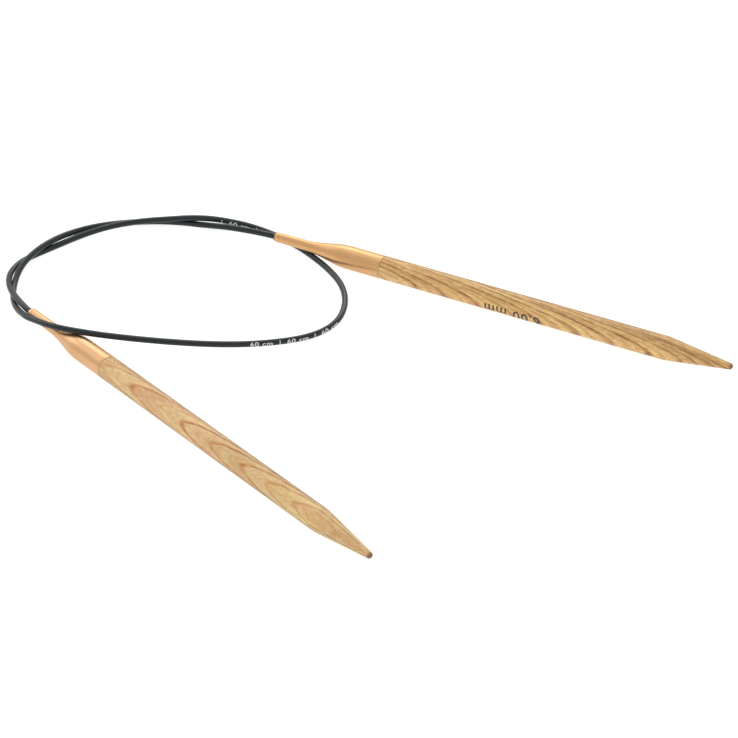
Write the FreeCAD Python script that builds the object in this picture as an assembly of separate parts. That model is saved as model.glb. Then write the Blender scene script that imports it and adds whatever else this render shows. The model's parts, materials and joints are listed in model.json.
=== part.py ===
"""Circular knitting needle, 6 mm, 60 cm from tip to tip, lying coiled.

Two turned wooden tips are glued into two swaged metal ferrules, and one thin
plastic cable joins the ferrules. Each cable end is held by a crimp sleeve that
sits behind the narrow neck of its ferrule.

The cable bends along its whole length. It is modelled as fifteen short
segments, each a round bar swept along the resting curve. A segment ends in a
ball, and the next begins with a hollow around that ball, so that the pair can
bend without touching.

Frame: millimetres, +Z up, the table is the plane z = 0. The origin is the
middle of the object's outline on the table. The longest side lies along X.
Left is -X, and both tips point towards +X and -Y.
"""

import FreeCAD, Part
import math
import os

os.makedirs("parts", exist_ok=True)
Vector = FreeCAD.Vector

# ------------------------------------------------------------------- needles
NEEDLE_D = 6.0
SHANK_R = NEEDLE_D / 2
AXIS_Z = SHANK_R          # both needles lie on the table

# nose: x, y where the cable leaves the ferrule
# heading: which way the tip points, degrees about +Z from +X
LEFT_NOSE = (-82.32, 24.43)
LEFT_HEADING = -47.54
RIGHT_NOSE = (-22.33, 57.71)
RIGHT_HEADING = -26.49

# Below, a profile point is (station, radius). Stations run along a needle's
# axis from the ferrule's nose towards the tip.

# ferrule, outside: a rounded nose, a nearly straight neck, then an S-shaped
# flare made of two arcs with a short cone between them
NOSE_FACE_R = 1.02
NOSE_ROUND = (0.35, 1.18)     # on the arc from the nose face to the neck
NECK_START = (1.30, 1.27)
NECK_MID = (3.20, 1.30)       # the neck's second, sloping line starts here
NECK_SLOPE = 0.0103           # rise per millimetre
FLARE_POINT = (15.00, 2.12)   # on the cone's line
FLARE_SLOPE = 0.198
NECK_FILLET_R = 26.0
BODY_FILLET_R = 23.5
FERRULE_END = 31.00
END_CHAMFER = 0.08

# ferrule, inside
CABLE_BORE_R = 0.84
CABLE_BORE_MOUTH_R = 0.93
BORE_SHOULDER = 12.00         # the crimp sleeve stops against this step
SLEEVE_BORE_R = 1.20
SLEEVE_BORE_END = 17.60
SOCKET_START = 21.60
SOCKET_R = 2.42
SOCKET_CHAMFER = 0.12

# wood
SEAM_GAP = 0.02               # glue line between ferrule and wood
TENON_R = SOCKET_R - SEAM_GAP
TENON_START = SOCKET_START + 0.20
TENON_CHAMFER = 0.30
WOOD_START = FERRULE_END + SEAM_GAP
WOOD_EDGE_CHAMFER = 0.06
SHOULDER = 108.56             # the point starts to taper
SHOULDER_FILLET_R = 12.0
TIP_END = 125.66
TIP_R = 0.85                  # radius of the blunt end

# crimp sleeve on the cable's end, inside the ferrule
CRIMP_R = 1.15
CRIMP_BORE_R = 0.83
CRIMP_START = BORE_SHOULDER + 0.05
CRIMP_LENGTH = 5.00
CRIMP_END = CRIMP_START + CRIMP_LENGTH
GROOVE_COUNT = 3
GROOVE_FIRST = 13.30          # station of the first groove's middle
GROOVE_PITCH = 1.30
GROOVE_R = 1.03
GROOVE_W = 0.45               # at the sleeve's surface; half of it at the floor

# cable
CABLE_R = 0.79
CABLE_INNER_END = 17.00       # station of the cable's end in the crimp sleeve
BALL_R = 0.78                 # ball on the end of a segment
CUP_R = 0.94                  # hollow around it in the next segment
POINTS_PER_SPAN = 3.4         # table steps to one pair of arcs, before rounding
STRAIGHT_SINE = 2e-5          # below this an arc is built as a straight bar
PARALLEL_LIMIT = 1e-9         # below this two directions count as the same

# The cable's centre line as x, y, z, one run per segment. A run starts where
# the one before it ends, and the first starts at the left nose. Seen from
# above, the cable winds clockwise about one and a half times. It passes under
# the right ferrule's neck and over the left ferrule, and crosses itself three
# times: twice on the left and once along the +Y side.
CABLE_RUNS = [
    [(-83.837, 26.469, 2.985), (-85.302, 28.714, 2.924), (-86.621, 31.035, 2.794)],
    [(-87.666, 33.185, 2.616), (-88.504, 35.416, 2.404), (-89.100, 37.729, 2.141),
     (-89.415, 40.117, 1.853), (-89.398, 42.538, 1.575), (-88.994, 44.914, 1.345),
     (-88.179, 47.158, 1.175), (-86.982, 49.209, 1.048), (-85.454, 51.053, 0.935),
     (-83.714, 52.733, 0.838)],
    [(-81.869, 54.304, 0.791), (-79.971, 55.795, 0.809), (-78.025, 57.206, 0.900),
     (-76.026, 58.532, 1.058), (-73.973, 59.769, 1.267), (-71.861, 60.908, 1.492),
     (-69.696, 61.947, 1.714), (-67.480, 62.882, 1.911), (-65.221, 63.710, 2.070),
     (-62.924, 64.431, 2.186)],
    [(-60.596, 65.044, 2.261), (-58.242, 65.551, 2.304), (-55.869, 65.955, 2.327),
     (-53.481, 66.263, 2.348), (-51.083, 66.491, 2.378), (-48.678, 66.669, 2.453),
     (-46.269, 66.826, 2.519), (-43.860, 66.975, 2.490), (-41.455, 67.105, 2.329),
     (-39.057, 67.163, 2.068)],
    [(-36.671, 67.079, 1.756), (-34.305, 66.789, 1.443), (-31.965, 66.296, 1.210),
     (-29.680, 65.561, 1.032), (-27.471, 64.592, 0.909), (-25.353, 63.426, 0.834),
     (-23.326, 62.111, 0.797), (-21.387, 60.684, 0.796), (-19.530, 59.164, 0.796),
     (-17.749, 57.553, 0.795)],
    [(-16.048, 55.844, 0.790), (-14.423, 54.054, 0.790), (-12.875, 52.197, 0.790),
     (-11.404, 50.288, 0.790), (-10.000, 48.342, 0.799), (-8.675, 46.335, 0.799),
     (-7.440, 44.264, 0.796), (-6.330, 42.117, 0.796), (-5.404, 39.890, 0.799),
     (-4.713, 37.587, 0.804)],
    [(-4.281, 35.227, 0.809), (-4.108, 32.835, 0.812), (-4.191, 30.427, 0.812),
     (-4.543, 28.022, 0.808), (-5.193, 25.679, 0.802), (-6.177, 23.482, 0.796),
     (-7.503, 21.502, 0.796), (-9.137, 19.768, 0.810), (-11.020, 18.278, 0.855),
     (-13.077, 17.007, 0.949)],
    [(-15.243, 15.922, 1.094), (-17.474, 14.994, 1.274), (-19.743, 14.200, 1.463),
     (-22.038, 13.520, 1.649), (-24.357, 12.938, 1.833), (-26.698, 12.442, 2.023),
     (-29.059, 12.019, 2.223), (-31.435, 11.662, 2.437), (-33.823, 11.362, 2.664),
     (-36.218, 11.112, 2.904)],
    [(-38.614, 10.908, 3.154), (-41.008, 10.742, 3.414), (-43.398, 10.611, 3.682),
     (-45.783, 10.510, 3.956), (-48.164, 10.431, 4.237), (-50.545, 10.373, 4.528),
     (-52.929, 10.331, 4.829), (-55.319, 10.309, 5.137), (-57.718, 10.315, 5.449),
     (-60.123, 10.365, 5.753)],
    [(-62.529, 10.484, 6.032), (-64.923, 10.711, 6.270), (-67.288, 11.093, 6.435),
     (-69.605, 11.681, 6.456), (-71.843, 12.512, 6.335), (-73.982, 13.585, 6.063),
     (-75.993, 14.877, 5.703), (-77.866, 16.348, 5.280), (-79.599, 17.959, 4.797),
     (-81.255, 19.622, 4.260)],
    [(-82.784, 21.374, 3.653), (-84.005, 23.373, 2.979), (-85.096, 25.443, 2.329),
     (-86.064, 27.573, 1.759), (-86.852, 29.798, 1.290), (-87.440, 32.114, 0.959),
     (-87.817, 34.491, 0.790), (-88.005, 36.894, 0.798), (-87.977, 39.299, 1.011),
     (-87.722, 41.676, 1.351)],
    [(-87.231, 44.000, 1.718), (-86.507, 46.258, 2.047), (-85.533, 48.443, 2.285),
     (-84.369, 50.552, 2.433), (-83.068, 52.586, 2.493), (-81.664, 54.545, 2.458),
     (-80.171, 56.426, 2.337), (-78.584, 58.223, 2.151), (-76.887, 59.922, 1.924),
     (-75.072, 61.499, 1.681)],
    [(-73.138, 62.930, 1.449), (-71.089, 64.184, 1.240), (-68.937, 65.242, 1.067),
     (-66.698, 66.096, 0.936), (-64.390, 66.753, 0.849), (-62.030, 67.230, 0.804),
     (-59.638, 67.550, 0.796), (-57.228, 67.739, 0.803), (-54.812, 67.816, 0.817),
     (-52.398, 67.793, 0.819)],
    [(-49.993, 67.673, 0.796), (-47.605, 67.432, 0.790), (-45.236, 67.061, 0.790),
     (-42.895, 66.531, 0.812), (-40.589, 65.842, 1.017), (-38.323, 65.031, 1.308),
     (-36.093, 64.155, 1.650), (-33.896, 63.215, 1.948), (-31.723, 62.230, 2.208),
     (-29.560, 61.220, 2.453)],
    [(-27.167, 60.078, 2.703), (-24.769, 58.913, 2.898), (*RIGHT_NOSE, AXIS_Z)],
]


# ------------------------------------------------------------ profile helpers
def line(start, end):
    return Part.makeLine(Vector(*start, 0), Vector(*end, 0))


def polyline(points):
    return [line(start, end) for start, end in zip(points, points[1:])]


def arc(start, middle, end):
    return Part.Arc(Vector(*start, 0), Vector(*middle, 0), Vector(*end, 0)).toShape()


def revolve(edges):
    """Turns a closed outline in the XY plane, y at least 0, about the X axis."""
    wire = Part.Wire(Part.__sortEdges__(edges))
    return Part.Face(wire).revolve(Vector(0, 0, 0), Vector(1, 0, 0), 360)


def fillet(corner, in_slope, out_slope, radius):
    """Start, middle and end of the arc that rounds the corner between two lines
    that run towards +X."""
    in_angle, out_angle = math.atan(in_slope), math.atan(out_slope)
    turn = out_angle - in_angle
    cut = radius * abs(math.tan(turn / 2))
    start = (corner[0] - cut * math.cos(in_angle), corner[1] - cut * math.sin(in_angle))
    end = (corner[0] + cut * math.cos(out_angle), corner[1] + cut * math.sin(out_angle))
    # positive when the arc's centre is on the +Y side of the lines
    offset = math.copysign(radius, turn)
    centre_x = start[0] - offset * math.sin(in_angle)
    centre_y = start[1] + offset * math.cos(in_angle)
    mid_angle = (in_angle + out_angle) / 2
    middle = (
        centre_x + offset * math.sin(mid_angle),
        centre_y - offset * math.cos(mid_angle),
    )
    return start, middle, end


# ------------------------------------------------------------------- ferrule
def make_ferrule():
    # each line's radius at station 0, to find where neck, cone and body meet
    neck_at_zero = NECK_MID[1] - NECK_SLOPE * NECK_MID[0]
    flare_at_zero = FLARE_POINT[1] - FLARE_SLOPE * FLARE_POINT[0]
    neck_corner = (neck_at_zero - flare_at_zero) / (FLARE_SLOPE - NECK_SLOPE)
    neck_arc = fillet(
        (neck_corner, neck_at_zero + NECK_SLOPE * neck_corner),
        NECK_SLOPE, FLARE_SLOPE, NECK_FILLET_R,
    )
    body_corner = (SHANK_R - flare_at_zero) / FLARE_SLOPE
    body_arc = fillet((body_corner, SHANK_R), FLARE_SLOPE, 0.0, BODY_FILLET_R)
    outside = [
        arc((0, NOSE_FACE_R), NOSE_ROUND, NECK_START),
        line(NECK_START, NECK_MID),
        line(NECK_MID, neck_arc[0]),
        arc(*neck_arc),
        line(neck_arc[2], body_arc[0]),
        arc(*body_arc),
    ]
    # along the body, round its end and back through the bores to the nose
    inside = polyline([
        body_arc[2],
        (FERRULE_END - END_CHAMFER, SHANK_R),
        (FERRULE_END, SHANK_R - END_CHAMFER),
        (FERRULE_END, SOCKET_R + SOCKET_CHAMFER),
        (FERRULE_END - SOCKET_CHAMFER, SOCKET_R),
        (SOCKET_START, SOCKET_R),
        (SLEEVE_BORE_END, SLEEVE_BORE_R),
        (BORE_SHOULDER, SLEEVE_BORE_R),
        (BORE_SHOULDER, CABLE_BORE_R),
        (CABLE_BORE_MOUTH_R - CABLE_BORE_R, CABLE_BORE_R),
        (0, CABLE_BORE_MOUTH_R),
        (0, NOSE_FACE_R),
    ])
    return revolve(outside + inside)


# ---------------------------------------------------------------- wooden tip
def make_wooden_tip():
    # the taper leaves the shoulder and meets the blunt end's sphere smoothly
    ball_centre = TIP_END - TIP_R
    reach = math.hypot(ball_centre - SHOULDER, SHANK_R)
    taper = math.atan2(SHANK_R, ball_centre - SHOULDER) - math.asin(TIP_R / reach)
    shoulder_arc = fillet((SHOULDER, SHANK_R), 0.0, -math.tan(taper), SHOULDER_FILLET_R)
    ball_start = (ball_centre + TIP_R * math.sin(taper), TIP_R * math.cos(taper))
    mid_angle = (math.pi / 2 - taper) / 2
    ball_middle = (
        ball_centre + TIP_R * math.cos(mid_angle),
        TIP_R * math.sin(mid_angle),
    )
    edges = polyline([
        (TIP_END, 0),
        (TENON_START, 0),
        (TENON_START, TENON_R - TENON_CHAMFER),
        (TENON_START + TENON_CHAMFER, TENON_R),
        (WOOD_START, TENON_R),
        (WOOD_START, SHANK_R - WOOD_EDGE_CHAMFER),
        (WOOD_START + WOOD_EDGE_CHAMFER, SHANK_R),
        shoulder_arc[0],
    ])
    edges += [
        arc(*shoulder_arc),
        line(shoulder_arc[2], ball_start),
        arc(ball_start, ball_middle, (TIP_END, 0)),
    ]
    return revolve(edges)


# -------------------------------------------------------------- crimp sleeve
def make_crimp():
    outline = [(CRIMP_START, CRIMP_BORE_R), (CRIMP_START, CRIMP_R)]
    for i in range(GROOVE_COUNT):
        middle = GROOVE_FIRST + i * GROOVE_PITCH
        outline += [
            (middle - GROOVE_W / 2, CRIMP_R),
            (middle - GROOVE_W / 4, GROOVE_R),
            (middle + GROOVE_W / 4, GROOVE_R),
            (middle + GROOVE_W / 2, CRIMP_R),
        ]
    outline += [(CRIMP_END, CRIMP_R), (CRIMP_END, CRIMP_BORE_R), outline[0]]
    return revolve(polyline(outline))


# --------------------------------------------------------------------- cable
def bend(start, heading, end):
    """A round bar on the circular arc that leaves start along the unit vector
    heading and reaches end."""
    chord = end - start
    normal = heading.cross(chord)
    sine = normal.Length / chord.Length
    disc = Part.Face(Part.Wire([Part.makeCircle(CABLE_R, start, heading)]))
    if sine < STRAIGHT_SINE:
        return disc.extrude(chord)
    normal.normalize()
    radius = chord.Length / (2 * sine)
    centre = start + normal.cross(heading).normalize() * radius
    return disc.revolve(centre, normal, math.degrees(2 * math.asin(sine)))


def bar(points, headings):
    """A round bar through the points, two arcs from each to the next, with no
    kink anywhere."""
    pieces = []
    for start, heading_in, end, heading_out in zip(
        points, headings, points[1:], headings[1:]
    ):
        # The arcs' tangents, all of length reach, meet at two corners. The
        # arcs join halfway between the corners.
        chord = end - start
        heading_sum = heading_in + heading_out
        spread = 1 - heading_in.dot(heading_out)
        if spread < PARALLEL_LIMIT:
            reach = chord.dot(chord) / (4 * chord.dot(heading_out))
        else:
            across = chord.dot(heading_sum)
            root = math.sqrt(across ** 2 + 2 * spread * chord.dot(chord))
            reach = (root - across) / (2 * spread)
        first_corner = start + heading_in * reach
        second_corner = end - heading_out * reach
        middle = (first_corner + second_corner) * 0.5
        heading_mid = (second_corner - first_corner).normalize()
        pieces += [bend(start, heading_in, middle), bend(middle, heading_mid, end)]
    return pieces[0].multiFuse(pieces[1:]).removeSplitter()


def unit_vector(degrees):
    angle = math.radians(degrees)
    return Vector(math.cos(angle), math.sin(angle), 0)


def heading_between(before, point, after):
    """The curve's direction at a point, leaning to its nearer neighbour."""
    step_in = point - before
    step_out = after - point
    blend = (step_in * (step_out.Length / step_in.Length)
             + step_out * (step_in.Length / step_out.Length))
    return blend.normalize()


def make_cable():
    left, right = unit_vector(LEFT_HEADING), unit_vector(RIGHT_HEADING)
    points = [Vector(*LEFT_NOSE, AXIS_Z)]
    ends = [0]
    for run in CABLE_RUNS:
        points += [Vector(*point) for point in run]
        ends.append(len(points) - 1)
    headings = [left * -1]
    headings += [heading_between(*trio) for trio in zip(points, points[1:], points[2:])]
    headings.append(right)

    segments = []
    for first, last in zip(ends, ends[1:]):
        count = last - first
        spans = max(1, round(count / POINTS_PER_SPAN))
        stops = [first + round(k * count / spans) for k in range(spans + 1)]
        body = bar([points[k] for k in stops], [headings[k] for k in stops])
        if first != 0:
            body = body.cut(Part.makeSphere(CUP_R, points[first], headings[first]))
        if last != ends[-1]:
            body = body.fuse(Part.makeSphere(BALL_R, points[last], headings[last]))
        # the straight ends inside the ferrules
        if first == 0:
            body = body.fuse(Part.makeCylinder(
                CABLE_R, CABLE_INNER_END, points[first], left))
        if last == ends[-1]:
            body = body.fuse(Part.makeCylinder(
                CABLE_R, CABLE_INNER_END, points[last], right))
        segments.append(body.removeSplitter())
    return segments


# --------------------------------------------------------------------- write
def put(shape, nose, heading):
    """Moves a solid of revolution from the X axis to a needle's axis."""
    shape.Placement = FreeCAD.Placement(
        Vector(*nose, AXIS_Z), FreeCAD.Rotation(Vector(0, 0, 1), heading)
    )
    return shape


def export(name, shape):
    if len(shape.Solids) != 1 or not shape.isValid():
        raise SystemExit("%s is not one valid solid" % name)
    shape.Solids[0].exportStep("parts/%s.step" % name)


def main():
    for side, nose, heading in (
        ("left", LEFT_NOSE, LEFT_HEADING),
        ("right", RIGHT_NOSE, RIGHT_HEADING),
    ):
        export("wooden_tip_" + side, put(make_wooden_tip(), nose, heading))
        export("ferrule_" + side, put(make_ferrule(), nose, heading))
        export("cable_crimp_" + side, put(make_crimp(), nose, heading))
    for number, segment in enumerate(make_cable(), start=1):
        export("cable_segment_%02d" % number, segment)


main()
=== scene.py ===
import json
import math

import bmesh
import bpy
import numpy as np
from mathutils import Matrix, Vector

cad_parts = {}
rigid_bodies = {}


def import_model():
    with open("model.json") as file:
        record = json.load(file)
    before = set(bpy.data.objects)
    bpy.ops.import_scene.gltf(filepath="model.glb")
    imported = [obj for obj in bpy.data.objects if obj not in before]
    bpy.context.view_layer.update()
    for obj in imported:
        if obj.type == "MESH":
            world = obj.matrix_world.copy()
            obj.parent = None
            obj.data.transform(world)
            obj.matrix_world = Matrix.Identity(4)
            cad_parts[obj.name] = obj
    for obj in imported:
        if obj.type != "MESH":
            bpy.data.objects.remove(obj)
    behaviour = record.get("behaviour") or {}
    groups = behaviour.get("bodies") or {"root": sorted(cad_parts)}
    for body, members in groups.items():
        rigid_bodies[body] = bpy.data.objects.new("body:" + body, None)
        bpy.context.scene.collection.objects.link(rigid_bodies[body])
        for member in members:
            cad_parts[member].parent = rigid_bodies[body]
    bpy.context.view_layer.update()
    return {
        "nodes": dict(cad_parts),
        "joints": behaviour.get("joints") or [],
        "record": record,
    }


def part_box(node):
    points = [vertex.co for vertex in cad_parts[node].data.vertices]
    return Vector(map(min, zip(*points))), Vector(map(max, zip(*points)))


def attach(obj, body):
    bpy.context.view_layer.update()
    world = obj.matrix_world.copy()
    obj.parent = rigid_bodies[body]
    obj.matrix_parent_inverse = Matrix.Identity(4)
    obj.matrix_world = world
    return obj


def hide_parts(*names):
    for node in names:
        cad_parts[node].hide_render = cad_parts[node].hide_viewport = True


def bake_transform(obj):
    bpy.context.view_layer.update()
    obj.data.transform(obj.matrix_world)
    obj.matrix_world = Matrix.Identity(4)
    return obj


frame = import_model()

MM = 0.001
SCENE = bpy.context.scene
COLLECTION = SCENE.collection


# ------------------------------------------------------------------ the frame
# The two shank mounts of the record give each needle's axis: they sit 64.76 mm
# from the narrow end of the ferrule and point at the wooden tip.
MOUNT_STATION = 64.76
NEEDLES = {}
for mount in frame["record"]["mounts"]:
    axis = np.array(mount["axis"], float)
    axis /= np.linalg.norm(axis)
    nose = np.array(mount["pos_m"], float) / MM - MOUNT_STATION * axis
    side = np.cross([0.0, 0.0, 1.0], axis)
    NEEDLES[mount["name"].split("_")[0]] = {
        "nose": nose, "axis": axis, "side": side, "up": np.array([0.0, 0, 1]),
    }
HINGES = [np.array(j["pos_m"], float) / MM for j in frame["joints"]]
BODIES = [frame["joints"][0]["parent"]] + [j["child"] for j in frame["joints"]]
SHANK_R = frame["record"]["mounts"][0]["dims"]["r_mm"]

CAMERA_AT = Vector((1.94, -532.12, 406.2)) * MM
CAMERA_TO = Vector((1.94, 4.84, 0.0)) * MM


def station(needle, s):
    return needle["nose"] + needle["axis"] * s


# ------------------------------------------------------------------ materials
def new_material(name):
    material = bpy.data.materials.new(name)
    material.use_nodes = True
    tree = material.node_tree
    tree.nodes.clear()
    out = tree.nodes.new("ShaderNodeOutputMaterial")
    shader = tree.nodes.new("ShaderNodeBsdfPrincipled")
    tree.links.new(shader.outputs[0], out.inputs[0])
    return material, Graph(tree), shader


class Graph:
    """Short names for wiring shader nodes."""

    def __init__(self, tree):
        self.tree = tree

    def link(self, source, socket):
        if source is None:
            return
        if isinstance(source, bpy.types.NodeSocket):
            self.tree.links.new(source, socket)
        elif isinstance(source, (tuple, list)) and len(source) == 3 and \
                socket.type == "RGBA":
            socket.default_value = (*source, 1)
        else:
            socket.default_value = source

    def math(self, operation, a, b=None, c=None, clamp=False):
        node = self.tree.nodes.new("ShaderNodeMath")
        node.operation = operation
        node.use_clamp = clamp
        for value, socket in zip((a, b, c), node.inputs):
            self.link(value, socket)
        return node.outputs[0]

    def vector(self, operation, a, b=None):
        node = self.tree.nodes.new("ShaderNodeVectorMath")
        node.operation = operation
        self.link(a, node.inputs[0])
        self.link(b, node.inputs[1])
        return node.outputs["Value" if operation == "DOT_PRODUCT" else 0]

    def combine(self, x, y, z):
        node = self.tree.nodes.new("ShaderNodeCombineXYZ")
        for value, socket in zip((x, y, z), node.inputs):
            self.link(value, socket)
        return node.outputs[0]

    def noise(self, at, scale=1.0, detail=2.0, rough=0.5, distortion=0.0):
        node = self.tree.nodes.new("ShaderNodeTexNoise")
        self.link(at, node.inputs["Vector"])
        node.inputs["Scale"].default_value = scale
        node.inputs["Detail"].default_value = detail
        node.inputs["Roughness"].default_value = rough
        node.inputs["Distortion"].default_value = distortion
        return node.outputs[0]

    def step(self, value, low, high, to_low=0.0, to_high=1.0):
        node = self.tree.nodes.new("ShaderNodeMapRange")
        node.interpolation_type = "SMOOTHSTEP"
        for v, socket in zip((value, low, high, to_low, to_high), node.inputs):
            self.link(v, socket)
        return node.outputs[0]

    def span(self, value, low, high, to_low=0.0, to_high=1.0):
        node = self.tree.nodes.new("ShaderNodeMapRange")
        node.clamp = True
        for v, socket in zip((value, low, high, to_low, to_high), node.inputs):
            self.link(v, socket)
        return node.outputs[0]

    def mix(self, factor, a, b, blend="MIX"):
        node = self.tree.nodes.new("ShaderNodeMix")
        node.data_type = "RGBA"
        node.blend_type = blend
        self.link(factor, node.inputs[0])
        self.link(a, node.inputs[6])
        self.link(b, node.inputs[7])
        return node.outputs[2]

    def ramp(self, value, stops, smooth=True):
        """stops: (place from 0 to 1, colour or grey level)."""
        node = self.tree.nodes.new("ShaderNodeValToRGB")
        node.color_ramp.interpolation = "EASE" if smooth else "LINEAR"
        elements = node.color_ramp.elements
        while len(elements) > 1:
            elements.remove(elements[-1])
        for i, (place, colour) in enumerate(stops):
            if not isinstance(colour, (tuple, list)):
                colour = (colour,) * 3
            e = elements[0] if i == 0 else elements.new(place)
            e.position = place
            e.color = (*colour, 1)
        self.link(value, node.inputs[0])
        return node.outputs[0]

    def bump(self, height, distance_mm, strength=1.0, normal=None):
        node = self.tree.nodes.new("ShaderNodeBump")
        node.inputs["Strength"].default_value = strength
        node.inputs["Distance"].default_value = distance_mm * MM
        self.link(height, node.inputs["Height"])
        self.link(normal, node.inputs["Normal"])
        return node.outputs[0]

    def object_mm(self):
        node = self.tree.nodes.new("ShaderNodeTexCoord")
        scaled = self.tree.nodes.new("ShaderNodeVectorMath")
        scaled.operation = "SCALE"
        self.link(node.outputs["Object"], scaled.inputs[0])
        scaled.inputs[3].default_value = 1 / MM
        return scaled.outputs[0]

    def local(self, needle):
        """Station along the needle, and the two coordinates across it, mm."""
        from_nose = self.vector(
            "SUBTRACT", self.object_mm(), tuple(needle["nose"]))
        return [
            self.vector("DOT_PRODUCT", from_nose, tuple(needle[k]))
            for k in ("axis", "side", "up")
        ]


def srgb(r, g, b):
    """A colour given as display levels from 0 to 255, as linear light."""
    out = []
    for v in (r, g, b):
        v /= 255
        out.append(v / 12.92 if v <= 0.04045 else ((v + 0.055) / 1.055) ** 2.4)
    return tuple(out)


def rings(g, u, lines):
    """Dark growth lines across the layer coordinate u, in mm. Each line is
    (place, rise before it, fall after it, strength)."""
    total = None
    lines = sorted(lines)
    while lines:
        low = lines[0][0] - lines[0][1] - 0.5
        chunk = []
        while lines and len(chunk) < 9 and lines[0][0] + lines[0][2] < low + 52:
            chunk.append(lines.pop(0))
        high = low + 52
        stops = [(0.0, 0.0)]
        last = 0.0
        for place, rise, fall, strength in chunk:
            a = max((place - rise - low) / 52, last + 0.0005)
            b = max((place - low) / 52, a + 0.0005)
            c = max((place + fall - low) / 52, b + 0.0005)
            stops += [(a, 0.0), (b, strength), (c, 0.0)]
            last = c
        part = g.ramp(g.span(u, low, high), stops)
        total = part if total is None else g.math("MAXIMUM", total, part)
    return total


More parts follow.
